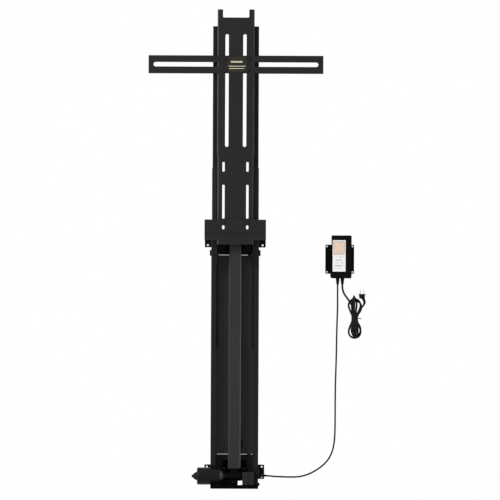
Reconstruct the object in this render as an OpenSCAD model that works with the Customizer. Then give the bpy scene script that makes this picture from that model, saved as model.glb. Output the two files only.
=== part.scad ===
// Motorised television lift: a telescopic column of nested sheet-steel rails, driven by a lead screw.
// X is to the right, Y runs from the front to the cabinet's back panel, Z is up.
// The origin is the centre of the lower bracket's four screw holes, on the plane of the back panel.
// Heights are given above the foot, and depths in front of the back panel's plane.
// The lift is drawn fully raised.

/* [Column] */
// Width over both base rails
column_w = 172; // [168:1:176]
// Height of the base rails' top ends
base_top = 925; // [910:5:940]
// Thickness of the base rails' steel
rail_t = 1.5; // [1.2:0.1:1.5]
// Thickness of the middle and inner rails' steel
thin_t = 1.4; // [1:0.1:1.4]
// Depth of a base rail, front to back
rail_depth = 60; // [58:1:62]
// Gap between nested rails in front and behind, where the pads run
pad_gap = 2; // [1.8:0.1:2.2]

/* [Travel] */
// Height of the middle rails' lower ends
mid_bottom = 505; // [480:5:520]
// Height of the middle rails' top ends
mid_top = 1160; // [1120:5:1180]
// Height of the inner rails' lower ends
inner_bottom = 865; // [860:1:870]
// Height of the inner rails' top ends
inner_top = 1663; // [1640:1:1670]

/* [Carriage] */
// Width of the upper plate
plate_w = 133; // [132:0.5:134]
// Height of the lid pushers' tips, fully raised
pusher_top = 1722; // [1710:1:1740]
// Height of the seam between the upper and the lower plate
seam_h = 1198; // [1195:1:1200]
// Thickness of the plates' steel
plate_t = 2; // [2:0.1:2.2]
// Depth of the upper plate's front face
plate_front = 89; // [87:1:91]
// Height of the cross plate's lower edge
cross_bottom = 894; // [892:1:896]

/* [Cross bar] */
// Length of the cross bar
bar_len = 628; // [560:2:640]
// Height of the bar's section
bar_h = 65; // [60:1:70]
// Height of the bar's centre line
bar_centre = 1524; // [1500:1:1560]
// Width of the bar's long slots
bar_slot_w = 16; // [12:1:18]
// Half the length that the pair of long slots spans
bar_slot_end = 296; // [270:1:300]

/* [Brackets] */
// Distance between the two columns of wall screws
ear_spacing = 198; // [194:1:202]
// Distance between the two rows of wall screws
ear_rows = 36; // [30:1:38]
// Height of the lower bracket's pattern centre
lower_ears = 57; // [57:1:58]
// Height of the upper bracket's pattern centre
upper_ears = 893; // [890:1:896]

/* [Drive] */
// Diameter of the lead screw
screw_d = 16; // [14:1:16]
// Diameter of the motor's can
motor_d = 62; // [56:1:62]
// Height of the motor's axis
motor_h = 44; // [44:0.5:46]
// Number of worm wheel teeth
wheel_teeth = 30; // [30:1:30]

/* [Control box] */
// Width of the control box
box_w = 72; // [68:1:76]
// Height of the control box with its end cap
box_h = 155; // [150:1:160]
// Depth of the control box
box_d = 38; // [34:1:42]

/* [Hidden] */

eps = 0.01;
round_fn = 48;
small_fn = 24;

// Turns a height above the foot into the part's own Z
function up(h) = h - lower_ears;

// Rail section: web faces and depths, nested from the outside in
rail_r = 1.5;
web_play = 0.2;
rail_back = 3;
rail_front = rail_back + rail_depth;
base_x = column_w / 2;
mid_x = base_x - rail_t - web_play;
inner_x = mid_x - thin_t - web_play;
mid_back = rail_back + rail_t + pad_gap;
mid_front = rail_front - rail_t - pad_gap;
inner_back = mid_back + thin_t + pad_gap;
inner_front = mid_front - thin_t - pad_gap;
lip_x = 68;
mid_lip_back_x = 60;
inner_lip_front_x = 62;
inner_lip_back_x = 67;
rail_foot = 2.5;

// Guide pads: a strip between two nested rails, with a running clearance on the far side
pad_play = 0.1;
pad_t = pad_gap - pad_play;
pad_w = 14;
pad_len = 40;
pad_x = 69;

// Brackets
bracket_t = 3;
ear_w = 220;
ear_half_lower = 108;
ear_margin = 8;
ear_hole_r = 3.25;
panel_t = 1.5;
slit = 1;
tongues = [[-80, -63], [45.5, 59.5], [66, 80]];
lower_bracket_bottom = 28;
lower_bracket_top = 120;
upper_bracket_bottom = 840;

// Carriage
half_plate = plate_w / 2;
plate_r = 2;
lower_front = plate_front - plate_t;
lower_half = half_plate - plate_t;
lower_top = 1222;
lower_bottom = 878;
shoulder_h = 1693;
pusher_w = 19.5;
carriage_slot_x = 32;
carriage_slot_w = 12;
carriage_slot = [1228, 1633];
side_x = 43;
side_slot_w = 8.5;
short_slot = [1139, 1174];
long_slot = [970, 1092];
oval_slot = [932, 946];
bolt_row = 959;
cross_w = 221;
cross_top = 967;
cross_crease = [908, 923];
cross_t = 3;
cross_step = 6;
tongue_w = 108;
tongue_bottom = 878;

// Cross bar
bar_t = 3;
bar_r = 2;
bar_flange = 12;
bar_slot_start = 40;
bar_bolt = [42.5, 21.5];
bar_front = plate_front + bar_t;

// Bolts: M6 hexagon heads
bolt_r = 3;
bolt_hole_r = 3.1;
hex_w = 10;
hex_h = 4;
washer_r = 6;
washer_t = 1.2;

// Screw line and its cover
screw_r = screw_d / 2;
screw_back = 34;
run_play = 0.06;
cover_w = 45;
cover_t = 2;
cover_r = 1.5;
cover_back = 16;
cover_front = 58;
cover_bottom = 72;
cover_top = 880;
cover_tab_x = cover_w / 2 - cover_t;
journal_r = 6;
tail_r = 7;

// Gearbox: two-start worm and wheel
module_mm = 1.5;
worm_starts = 2;
wheel_r = module_mm * wheel_teeth / 2;
worm_r = 7.5;
worm_back = screw_back + wheel_r + worm_r;
worm_lead = worm_starts * PI * module_mm;
worm_len = 34;
drum_r = 30;
drum_inner_r = 26.5;
drum = [30, 66];
barrel_r = 13.5;
barrel_bore_r = 10.5;
barrel_back = worm_back + 0.7;
lug_bottom = 59;
barrel = [-40, 26];
wheel_face = 12;
backlash = 0.36;

// Motor, lying to the left of the gearbox
motor_r = motor_d / 2;
can = [-134, -51];
cap_x = -153;
nose_r = 18;

// Foot tray
foot_front = 98;
foot_lip = 14;
foot_t = 2.5;

// Nut and its carrier
nut = [832, 876];
carrier = [843, 905];
carrier_rear_top = 876;
carrier_t = 3;
carrier_r = 2;
arm_x = 32;
wing_x = 56;
carrier_back = 8;

// Shoes that run on the front of the base rails
shoe = [810, 866];
flap = [806, 870];
shoe_top = 930;
flap_back = 72;
flap_t = 2;
shoe_play = 0.2;

// Terminal box, lead clamp and earth bolt at the lower right
term_x = [29, 70.5];
term_top = 59;
term_front = 93;
term_wall = 2;
clamp_x = 82.5;
clamp_h = 57;
clamp_r = 11;
lead_h = 47;
lead_back = 76;
lead_d = 6;

// Control box beside the column, on the same back panel
box_x = 383.5;
box_mid = 834.5;
flange_x = 377.5;
flange_mid = 826;
flange_size = [104, 105];
flange_holes = 92;
flange_t = 3;
cap_h = 17;
gland_x = [370, 387];
gland_back = 19;
gland_top = box_mid - box_h / 2;
gland_len = 22;
mains_d = 7;

// Mains hank and plug
hank_back = 27;
hank_t = [28, 50];
waist = [432, 613];
plug_x = 458;
plug_h = 692;

// Routes of the two leads, as [x, depth, height]
motor_route = [[98, 76, 47], [112, 76, 47], [126, 76, 46], [145, 74, 44], [170, 71, 43], [200, 66, 42], [232, 60, 43],
    [262, 53, 50], [290, 46, 63], [315, 39, 80], [336, 33, 101], [350, 29, 126], [358, 26, 154],
    [362, 24, 194], [363, 22, 255], [363, 21, 320], [364, 20, 390], [366, 20, 464], [367, 19, 525],
    [368, 19, 582], [370, 19, 647], [370, 19, 700], [370, 19, 745]];
mains_route = [[387, 19, 745], [387, 19, 736], [387, 19, 728], [388.5, 20, 716], [393, 22.5, 703], [400, 26.5, 692],
    [408, 31.5, 681]];

// Sheet-metal section: a strip of thickness t that goes straight, bends by +90 or -90 degrees, and so on.
// steps is a list of [straight length, bend], r the inner radius of each bend.
module bent_strip(steps, t, r, i = 0) {
    run = steps[i][0];
    turn = steps[i][1];
    square([run, t]);
    if (i < len(steps) - 1) {
        if (turn > 0) {
            translate([run, t + r]) quarter_ring(r, t, -90);
            translate([run + r + t, t + r]) rotate(90) bent_strip(steps, t, r, i + 1);
        } else {
            translate([run, -r]) quarter_ring(r, t, 0);
            translate([run + r, -r]) rotate(-90) bent_strip(steps, t, r, i + 1);
        }
    }
}

// Quarter of a ring whose sector starts at the angle given
module quarter_ring(r, t, start) {
    rotate(start) intersection() {
        difference() {
            circle(r + t, $fn = round_fn);
            circle(r, $fn = round_fn);
        }
        square(r + t + 1);
    }
}

// Upright slot with round ends, cut along Y through everything from one depth to another
module upright_slot(x, span, w, depths) {
    translate([x, -depths[0], up((span[0] + span[1]) / 2)]) rotate([90, 0, 0])
        linear_extrude(depths[1] - depths[0]) {
            square([w, span[1] - span[0] - w], center = true);
            for (s = [-1, 1]) translate([0, s * (span[1] - span[0] - w) / 2]) circle(d = w, $fn = small_fn);
        }
}

// Round rod or hole along Y between two depths
module rod_y(x, h, r, depths, fn = small_fn) {
    translate([x, -depths[0], up(h)]) rotate([90, 0, 0]) cylinder(r = r, h = depths[1] - depths[0], $fn = fn);
}

// Round rod or hole along X between two positions
module rod_x(xs, depth, h, r, r2 = undef, fn = round_fn) {
    translate([xs[0], -depth, up(h)]) rotate([0, 90, 0])
        cylinder(r1 = r, r2 = is_undef(r2) ? r : r2, h = xs[1] - xs[0], $fn = fn);
}

// Upright rod or hole on the screw's line
module rod_z(r, hs, x = 0, depth = screw_back, fn = round_fn) {
    translate([x, -depth, up(hs[0])]) cylinder(r = r, h = hs[1] - hs[0], $fn = fn);
}

// Block given by its spans in X, depth and height
module block(xs, depths, hs) {
    translate([xs[0], -depths[1], up(hs[0])]) cube([xs[1] - xs[0], depths[1] - depths[0], hs[1] - hs[0]]);
}

// Flat plate facing the front with round corners, in the XZ plane
module face_plate(xs, hs, r, depths) {
    translate([0, -depths[0], 0]) rotate([90, 0, 0]) linear_extrude(depths[1] - depths[0])
        round_rect(xs, [up(hs[0]), up(hs[1])], r);
}

module round_rect(xs, ys, r) {
    translate([xs[0] + r, ys[0]]) square([xs[1] - xs[0] - 2 * r, ys[1] - ys[0]]);
    translate([xs[0], ys[0] + r]) square([xs[1] - xs[0], ys[1] - ys[0] - 2 * r]);
    for (x = [xs[0] + r, xs[1] - r], y = [ys[0] + r, ys[1] - r]) translate([x, y]) circle(r, $fn = small_fn);
}

// Hexagon bolt seen from the front: head, washer and shank along Y, and a nut behind
module hex_bolt(x, h, face, grip) {
    color("dimgray") {
        rod_y(x, h, washer_r, [face, face + washer_t]);
        translate([x, -face - washer_t, up(h)]) rotate([90, 30, 0])
            cylinder(d = hex_w / cos(30), h = hex_h, $fn = 6);
        rod_y(x, h, bolt_r, [face - grip - hex_h, face + eps]);
        translate([x, -face + grip + hex_h, up(h)]) rotate([90, 0, 0]) cylinder(d = hex_w / cos(30), h = hex_h, $fn = 6);
    }
}

// C rail of the right side: front lip, web and rear lip
module c_rail(web_x, lips, depths, t, hs) {
    bend = rail_r + t;
    translate([0, 0, up(hs[0])]) linear_extrude(hs[1] - hs[0]) translate([lips[0], -depths[1]])
        bent_strip([[web_x - lips[0] - bend, 90], [depths[1] - depths[0] - 2 * bend, 90],
            [web_x - lips[1] - bend, 0]], t, rail_r);
}

module left() {
    mirror([1, 0, 0]) children();
}

// Foot: a shallow tray with an upturned front lip
module foot_plate() color([0.11, 0.11, 0.12]) {
    bend = foot_t + rail_r;
    translate([-base_x, -foot_front, up(0)]) rotate([90, 0, 90]) linear_extrude(column_w)
        mirror([1, 0]) translate([-foot_front, 0])
            bent_strip([[foot_front - bend, 90], [foot_lip - bend, 0]], foot_t, rail_r);
}

// Lower wall bracket: one plate behind the rails, with an ear at each side
module lower_bracket() color([0.12, 0.12, 0.13]) difference() {
    union() {
        block([-base_x, base_x], [0, bracket_t], [lower_bracket_bottom, lower_bracket_top]);
        face_plate([-ear_half_lower, ear_half_lower], ear_span(lower_ears), 3, [0, bracket_t]);
    }
    ear_holes(lower_ears);
}

// Upper wall bracket
module upper_bracket() color([0.12, 0.12, 0.13]) difference() {
    union() {
        block([-base_x, base_x], [0, bracket_t], [upper_bracket_bottom, upper_ears]);
        face_plate([-ear_w / 2, ear_w / 2], ear_span(upper_ears), 3, [0, bracket_t]);
    }
    ear_holes(upper_ears);
}

function ear_span(h) = [h - ear_rows / 2 - ear_margin, h + ear_rows / 2 + ear_margin];

module ear_holes(h) {
    for (x = [-1, 1], z = [-1, 1])
        rod_y(x * ear_spacing / 2, h + z * ear_rows / 2, ear_hole_r, [-1, bracket_t + 1]);
}

// Thin panel between the brackets, whose tongues meet them and leave a narrow slit above and below it
module back_panel() color([0.08, 0.08, 0.09]) {
    block([-base_x + 6, base_x - 6], [rail_back - panel_t, rail_back],
        [lower_bracket_top + slit, upper_bracket_bottom - slit]);
    for (xs = tongues) block(xs, [rail_back - panel_t, rail_back], [lower_bracket_top, upper_bracket_bottom]);
}

module base_rail() difference() {
    c_rail(base_x, [lip_x, lip_x], [rail_back, rail_front], rail_t, [rail_foot, base_top]);
    for (h = button_rows) rod_x([base_x - 5, base_x + 5], button_back, h, button_r);
}

button_rows = [847, 905];
button_back = 33;
button_r = 7;
button_head_r = 11;
button_head = 5.5;

// The left rail is cut away at the bottom for the motor
module base_rail_left() color([0.13, 0.13, 0.14]) difference() {
    left() base_rail();
    block([-base_x - 1, -lip_x + 10], [worm_back - motor_r - 2, rail_front + 1], [rail_foot - 1, motor_h + motor_r + 5]);
}

module base_rail_right() color([0.13, 0.13, 0.14]) difference() {
    base_rail();
    rod_x([base_x - 5, base_x + 5], button_back, earth_h, bolt_hole_r, fn = small_fn);
}

// Nylon strips inside the upper ends of the base rails, on which the middle rails run
module base_guide_pads() color([0.8, 0.8, 0.76])
    for (side = [0, 1]) mirror([side, 0, 0]) {
        block([pad_x, pad_x + pad_w], [rail_back + rail_t, rail_back + rail_t + pad_t], [base_top - pad_len, base_top]);
        block([pad_x, pad_x + pad_w], [rail_front - rail_t - pad_t, rail_front - rail_t], [base_top - pad_len, base_top]);
    }

// Snap-in nylon buttons that guide the middle rails sideways
module side_glide_buttons() color([0.1, 0.1, 0.1])
    for (side = [0, 1], h = button_rows) mirror([side, 0, 0]) {
        rod_x([base_x - rail_t + web_play / 4, base_x + eps], button_back, h, button_r);
        rod_x([base_x, base_x + button_head - 2], button_back, h, button_head_r);
        rod_x([base_x + button_head - 2, base_x + button_head], button_back, h, button_head_r, button_head_r - 2);
    }

// Channel over the lead screw, open to the rear
module screw_cover() color([0.2, 0.2, 0.21]) difference() {
    bend = cover_r + cover_t;
    translate([-cover_w / 2, -cover_back, up(cover_bottom)]) linear_extrude(cover_top - cover_bottom)
        rotate(-90) bent_strip([[cover_front - cover_back - bend, 90], [cover_w - 2 * bend, 90],
            [cover_front - cover_back - bend, 0]], cover_t, cover_r);
    rod_x([-cover_w, cover_w], tab_screw_back, tab_screw_h, tab_screw_r + run_play, fn = small_fn);
}

tab_screw_back = 40;
tab_screw_h = 105;
tab_screw_r = 2;

// Shelf at the top of the base that carries the screw's upper bearing
shelf_half = 22;
shelf = [880, 883];
module top_bearing_bracket() color([0.12, 0.12, 0.13]) difference() {
    union() {
        block([-shelf_half, shelf_half], [bracket_t, cover_front], shelf);
        block([-shelf_half, shelf_half], [bracket_t, 2 * bracket_t], [shelf[0], upper_ears + 22]);
        for (x = [-shelf_half, shelf_half - bracket_t])
            translate([x, -2 * bracket_t, up(shelf[1])]) rotate([90, 0, 90]) linear_extrude(bracket_t)
                polygon([[eps, -eps], [-30, -eps], [eps, 30]]);
    }
    rod_z(bush_r, [shelf[0] - 1, shelf[1] + 1]);
}

// Flanged bronze bush on the shelf
bush_r = 9;
module top_bush() color([0.72, 0.53, 0.28]) difference() {
    union() {
        rod_z(bush_r, [shelf[0], shelf[1] + eps]);
        rod_z(bush_r + 3, [shelf[1], shelf[1] + 7]);
    }
    rod_z(journal_r + run_play, [shelf[0] - 1, shelf[1] + 8]);
}

// Angle plate above the gearbox: it carries the thrust bearing and, by two tabs, the cover's lower end
gear_plate = [66, 69];
gear_half = 42;
module gearbox_bracket() color([0.12, 0.12, 0.13]) difference() {
    union() {
        block([-gear_half, gear_half], [bracket_t, 64], gear_plate);
        block([-gear_half, gear_half], [bracket_t, 2 * bracket_t], [gear_plate[0], 100]);
        for (x = [-cover_tab_x, cover_tab_x - bracket_t]) block([x, x + bracket_t], [30, 50], [gear_plate[0], 115]);
    }
    rod_z(screw_r + 1, [gear_plate[0] - 1, gear_plate[1] + 1]);
    gearbox_bolt_lines(bolt_hole_r, [gear_plate[0] - 1, gear_plate[1] + 1]);
    rod_x([-cover_w, cover_w], tab_screw_back, tab_screw_h, tab_screw_r, fn = small_fn);
}

module gearbox_bolt_lines(r, hs) {
    for (x = [-36, 36], y = [20, 46]) rod_z(r, hs, x, y, small_fn);
}

// Thrust bearing under the screw's collar
module thrust_bearing() color([0.62, 0.63, 0.65]) difference() {
    union() {
        rod_z(17, [gear_plate[1], gear_plate[1] + 3]);
        rod_z(15.5, [gear_plate[1] + 3 - eps, gear_plate[1] + 6]);
        rod_z(17, [gear_plate[1] + 6 - eps, gear_plate[1] + 9]);
    }
    rod_z(screw_r + run_play, [gear_plate[1] - 1, gear_plate[1] + 10]);
}

// Die-cast gearbox: a drum for the wheel, a barrel for the worm and two bars that end in lugs
module gearbox_housing() color([0.16, 0.16, 0.17]) difference() {
    union() {
        rod_z(drum_r, drum);
        rod_x(barrel, barrel_back, motor_h, barrel_r);
        for (y = [20, 46]) lug_bar(y);
    }
    rod_z(drum_inner_r, [drum[0] - 1, drum[1] - 6]);
    rod_z(tail_r + run_play, [drum[1] - 8, drum[1] + 1]);
    rod_x([barrel[0] - 1, barrel[1] - 4], worm_back, motor_h, barrel_bore_r);
    rod_x([barrel[1] - 5, barrel[1] - 1], worm_back, motor_h, 4 + run_play, fn = small_fn);
    gearbox_bolt_lines(bolt_hole_r, [drum[1] - 12, drum[1] + 1]);
}

module lug_bar(y) translate([0, -y, up(lug_bottom)]) linear_extrude(drum[1] - lug_bottom) {
    square([72, 10], center = true);
    for (x = [-36, 36]) translate([x, 0]) circle(6, $fn = small_fn);
}

// Bottom cover of the gearbox, with the boss of the lower bearing
module gearbox_cover() color([0.18, 0.18, 0.19]) difference() {
    union() {
        rod_z(drum_r, [drum[0] - 3, drum[0]]);
        rod_z(13, [14, drum[0] - 3 + eps]);
    }
    rod_z(tail_r + run_play, [18, drum[0] + 1]);
}

module gearbox_bolts() color("dimgray")
    for (x = [-36, 36], y = [20, 46]) {
        rod_z(bolt_r, [drum[1] - 10, gear_plate[1] + eps], x, y, small_fn);
        translate([x, -y, up(gear_plate[1])]) cylinder(d = hex_w / cos(30), h = hex_h, $fn = 6);
    }

// Motor can, closed by the rolled rear edge
module motor_can() color([0.14, 0.14, 0.15]) difference() {
    translate([can[0], -worm_back, up(motor_h)]) rotate([0, 90, 0]) rotate_extrude($fn = 64)
        intersection() {
            union() {
                square([motor_r - 5, can[1] - can[0]]);
                translate([0, 5]) square([motor_r, can[1] - can[0] - 5]);
                translate([motor_r - 5, 5]) circle(5, $fn = small_fn);
            }
            square([motor_r, can[1] - can[0]]);
        }
    rod_x([can[1] - 20, can[1] + 1], worm_back, motor_h, 4 + run_play, fn = small_fn);
}

// Cast nose between the can and the worm barrel
module motor_nose() color([0.3, 0.3, 0.31]) difference() {
    union() {
        rod_x([can[1], can[1] + 5], worm_back, motor_h, motor_r);
        rod_x([can[1] + 5 - eps, barrel[0]], worm_back, motor_h, motor_r - 2, nose_r);
    }
    rod_x([can[1] - 1, barrel[0] + 1], worm_back, motor_h, 6, fn = small_fn);
}

// Turned cap over the motor's rear bearing: a flange, a rounded shoulder and a blunt point
module motor_end_cap() color([0.25, 0.25, 0.26])
    translate([can[0], -worm_back, up(motor_h)]) rotate([0, -90, 0]) rotate_extrude($fn = 48) {
        square([15, 4]);
        translate([0, 4 - eps]) polygon([[0, 0], [13.5, 0], [12.6, 3.5], [10.4, 6.5], [5.6, 10.5], [5, 14.5],
            [4.2, can[0] - cap_x - 4.5], [3, can[0] - cap_x - 4], [0, can[0] - cap_x - 4]]);
    }

// Angle on the foot whose upright leg cradles the worm barrel, with two screws in it
module motor_saddle() color([0.1, 0.1, 0.11]) difference() {
    union() {
        block(saddle_x, [saddle_back, saddle_back + bracket_t], [foot_t, motor_h - 5]);
        block([saddle_x[0] + 6, saddle_x[1]], [saddle_back, saddle_back + 18], [foot_t, 2 * foot_t]);
    }
    rod_x([barrel[0] - eps, barrel[1]], barrel_back, motor_h, barrel_r);
    rod_x([can[1] + 5, barrel[0]], worm_back, motor_h, motor_r - 1.7, nose_r + 0.3);
    for (x = saddle_screws) rod_y(x, saddle_screw_h, 1.5, [saddle_back - 1, saddle_back + bracket_t + 1]);
}

saddle_x = [-45.5, 12];
saddle_back = 66;
saddle_screws = [-6, 5];
saddle_screw_h = 22;

// Box for the motor's terminals, open at the front
module terminal_box() color([0.22, 0.22, 0.23]) difference() {
    block(term_x, [rail_front, term_front - term_wall], [foot_t, term_top]);
    block([term_x[0] + term_wall, term_x[1] - term_wall], [rail_front + term_wall, term_front],
        [foot_t + term_wall, term_top - term_wall]);
    rod_x([term_x[1] - 4, term_x[1] + 1], lead_back, lead_h, lead_d / 2, fn = small_fn);
}

module terminal_box_lid() color([0.24, 0.24, 0.25]) difference() {
    face_plate(term_x, [foot_t, term_top], 2, [term_front - term_wall, term_front]);
    for (h = [foot_t + 16, term_top - 6]) rod_y(term_mid, h, 1.5, [term_front - 3, term_front + 1]);
}

term_mid = (term_x[0] + term_x[1]) / 2;

module terminal_block() color([0.85, 0.85, 0.8]) difference() {
    block([term_mid - 12, term_mid + 12], [rail_front + term_wall, rail_front + 14], [22, 32]);
    for (x = [-8, 0, 8]) rod_y(term_mid + x, 27, 1.8, [rail_front + 8, rail_front + 15]);
}

// Small pan-head screws: terminal box lid, cover tabs, lead clamp and saddle
module panel_screws() color([0.5, 0.5, 0.52]) {
    for (h = [foot_t + 16, term_top - 6]) {
        rod_y(term_mid, h, 1.5, [term_front - term_wall, term_front + eps]);
        rod_y(term_mid, h, 3, [term_front, term_front + 1.6]);
    }
    for (side = [0, 1]) mirror([side, 0, 0]) {
        rod_x([cover_tab_x - bracket_t, cover_w / 2 + eps], tab_screw_back, tab_screw_h, tab_screw_r, fn = small_fn);
        rod_x([cover_w / 2, cover_w / 2 + 1.8], tab_screw_back, tab_screw_h, 3.6, 2.8, small_fn);
    }
    rod_y(clamp_x, clamp_h + 1, 3.6, [clamp_front, clamp_front + 1.8]);
    for (x = saddle_screws) {
        rod_y(x, saddle_screw_h, 1.5, [saddle_back, saddle_back + bracket_t + eps]);
        rod_y(x, saddle_screw_h, 2.8, [saddle_back + bracket_t, saddle_back + bracket_t + 1.6]);
    }
}

// Round clamp for the motor lead, with its tapered relief
clamp_front = 84;
relief_end = 113;
module lead_clamp() color([0.09, 0.09, 0.09]) difference() {
    union() {
        rod_y(clamp_x, clamp_h, clamp_r, [rail_front, clamp_front - 2], round_fn);
        rod_y(clamp_x, clamp_h, clamp_r - 2, [clamp_front - 2 - eps, clamp_front], round_fn);
        rod_x([term_x[1], clamp_x + clamp_r + 4], lead_back, lead_h, 5.5);
        rod_x([clamp_x + clamp_r + 4 - eps, relief_end], lead_back, lead_h, 5.5, 3.8);
    }
    rod_x([motor_route[0][0], relief_end + 1], lead_back, lead_h, lead_d / 2, fn = small_fn);
}

// Earth bolt on the right side of the foot
earth_h = 13;
module earth_bolt() color([0.5, 0.5, 0.52]) {
    rod_x([base_x, base_x + washer_t], button_back, earth_h, washer_r, fn = small_fn);
    rod_x([base_x - rail_t - 4, base_x + eps], button_back, earth_h, bolt_r, fn = small_fn);
    translate([base_x + washer_t, -button_back, up(earth_h)]) rotate([0, 90, 0])
        cylinder(d = hex_w / cos(30), h = hex_h, $fn = 6);
}

// Potted sensors on the cover's right side, one at each end of the nut's travel
sensor_t = 7;
sensor_rows = [[144, 170], [844, 870]];
module limit_sensors() color([0.07, 0.07, 0.08])
    for (hs = sensor_rows) block([cover_w / 2, cover_w / 2 + sensor_t], [30, 44], hs);

// Control box: back plate with side flanges, hollow cover, end cap and board
module controller_base() color([0.1, 0.1, 0.1]) difference() {
    union() {
        face_plate([flange_x - flange_size[0] / 2, flange_x + flange_size[0] / 2],
            [flange_mid - flange_size[1] / 2, flange_mid + flange_size[1] / 2], 4, [0, flange_t]);
        face_plate([box_x - box_w / 2, box_x + box_w / 2], [gland_top, gland_top + box_h], 3, [0, flange_t]);
    }
    for (x = [-1, 1], z = [-1, 1])
        rod_y(flange_x + x * flange_holes / 2, flange_mid + z * flange_holes / 2, 2.5, [-1, flange_t + 1]);
}

module controller_cover() color([0.1, 0.1, 0.1]) difference() {
    face_plate([box_x - box_w / 2, box_x + box_w / 2], [gland_top + cap_h, gland_top + box_h], 3, [flange_t, box_d]);
    face_plate([box_x - box_w / 2 + 2, box_x + box_w / 2 - 2], [gland_top + cap_h + 2, gland_top + box_h - 2], 2,
        [flange_t - 1, box_d - 2]);
}

module controller_end_cap() color([0.09, 0.09, 0.09]) difference() {
    union() {
        face_plate([box_x - box_w / 2 - 4, box_x + box_w / 2], [gland_top, gland_top + cap_h], 7, [flange_t, box_d + 1]);
        block([box_x - box_w / 2 - 4, box_x + box_w / 2], [flange_t, box_d + 1],
            [gland_top + cap_h - 8, gland_top + cap_h]);
    }
    for (x = gland_x) rod_z(gland_neck_r, [gland_top - 1, gland_top + 6], x, gland_back, small_fn);
}

module controller_board() {
    color([0.05, 0.3, 0.15])
        block([box_x - 30, box_x + 30], [flange_t + 4, flange_t + 5.6], [gland_top + 24, gland_top + 145]);
    color([0.15, 0.15, 0.15]) {
        block([box_x - 26, box_x + 8], [flange_t + 5.6 - eps, flange_t + 28], [gland_top + 95, gland_top + 138]);
        for (x = [-20, 0]) block([box_x + x, box_x + x + 15], [flange_t + 5.6 - eps, flange_t + 22],
            [gland_top + 60, gland_top + 80]);
    }
    color([0.8, 0.8, 0.8]) for (h = [28, 136], x = [-24, 24])
        rod_y(box_x + x, gland_top + h, 2.5, [flange_t, flange_t + 4 + eps]);
}

gland_neck_r = 4.5;
module controller_glands() color([0.07, 0.07, 0.07])
    for (i = [0, 1]) difference() {
        union() {
            rod_z(gland_neck_r, [gland_top, gland_top + 6], gland_x[i], gland_back, small_fn);
            translate([gland_x[i], -gland_back, up(gland_top - gland_len)])
                cylinder(r1 = 4.4, r2 = 7, h = gland_len, $fn = small_fn);
        }
        rod_z([lead_d, mains_d][i] / 2, [gland_top - gland_len - 1, gland_top - gland_len + 10], gland_x[i],
            gland_back, small_fn);
    }

// Round cord swept along a smooth curve through hand-chosen points
function smooth(p, a, b, c, u) = 0.5 * ((2 * a) + (b - p) * u + (2 * p - 5 * a + 4 * b - c) * u * u
    + (3 * a - p - 3 * b + c) * u * u * u);
function route_point(r, i, u) = smooth(r[max(i - 1, 0)], r[i], r[i + 1], r[min(i + 2, len(r) - 1)], u);
function curve(r, n) = [for (i = [0:len(r) - 2], k = [0:n - 1]) route_point(r, i, k / n), r[len(r) - 1]];
function unit(v) = v / norm(v);
function heading(c, i) = unit(c[min(i + 1, len(c) - 1)] - c[max(i - 1, 0)]);

module cord(route, d, n, sides = 8, start = undef, end = undef) {
    c = [for (p = curve(route, n)) [p[0], -p[1], up(p[2])]];
    side = [0, 1, 0];
    rings = [for (i = [0:len(c) - 1])
        let (t = i == 0 && !is_undef(start) ? start : i == len(c) - 1 && !is_undef(end) ? end : heading(c, i),
            a = unit(side - (side * t) * t), b = cross(t, a))
        [for (k = [0:sides - 1]) c[i] + d / 2 * (cos(360 * k / sides) * a + sin(360 * k / sides) * b)]];
    last = len(c) - 1;
    polyhedron(
        points = [for (ring = rings) each ring],
        faces = [[for (k = [0:sides - 1]) k], [for (k = [sides - 1:-1:0]) last * sides + k],
            for (i = [0:last - 1], k = [0:sides - 1], f = [0, 1])
                let (a = i * sides + k, b = i * sides + (k + 1) % sides)
                f == 0 ? [a, b + sides, b] : [a, a + sides, b + sides]]);
}

module motor_lead() color([0.06, 0.06, 0.06]) cord(motor_route, lead_d, 3, start = [1, 0, 0], end = [0, 0, 1]);

module mains_lead() color([0.06, 0.06, 0.06]) cord(mains_route, mains_d, 3, start = [0, 0, -1]);

// Outer shape of the folded and tied mains cord: deep lobes and a shallower waist
module mains_hank() color([0.06, 0.06, 0.06])
    for (lobe = [[[417, 682], [460, 668]], [[421, 551], [446, 551]]]) hull() {
        hank_round(waist, 11, hank_t[0]);
        for (p = lobe) hank_round(p, 12, hank_t[1]);
    }

module hank_round(p, r, t) translate([p[0], -hank_back + t / 2, up(p[1])]) rotate([90, 0, 0])
    cylinder(r = r, h = t, $fn = 20);

// Tie round the hank's waist, with its twisted tail
module hank_tie() color([0.04, 0.04, 0.04]) difference() {
    union() {
        block([waist[0] - 16, waist[0] + 16], [hank_back - 19, hank_back + 19], [waist[1] - 2.5, waist[1] + 2.5]);
        block([waist[0] + 15, waist[0] + 24], [hank_back + 8, hank_back + 12], [waist[1] - 1.5, waist[1] + 1.5]);
    }
    block([waist[0] - 14, waist[0] + 14], [hank_back - 17.05, hank_back + 17.05], [waist[1] - 4, waist[1] + 4]);
}

// Two-blade mains plug lying on the hank, blades up
plug_size = [22, 18, 18];
module plug_body() color([0.06, 0.06, 0.06]) {
    face_plate([plug_x - plug_size[0] / 2, plug_x + plug_size[0] / 2],
        [plug_h - plug_size[2] / 2 + 1, plug_h + plug_size[2] / 2], 3, [hank_back - 9, hank_back + 9]);
    face_plate([plug_x - 13, plug_x + 13], [plug_h + plug_size[2] / 2 - 4, plug_h + plug_size[2] / 2 - 1], 1,
        [hank_back - 10, hank_back + 10]);
}

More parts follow.
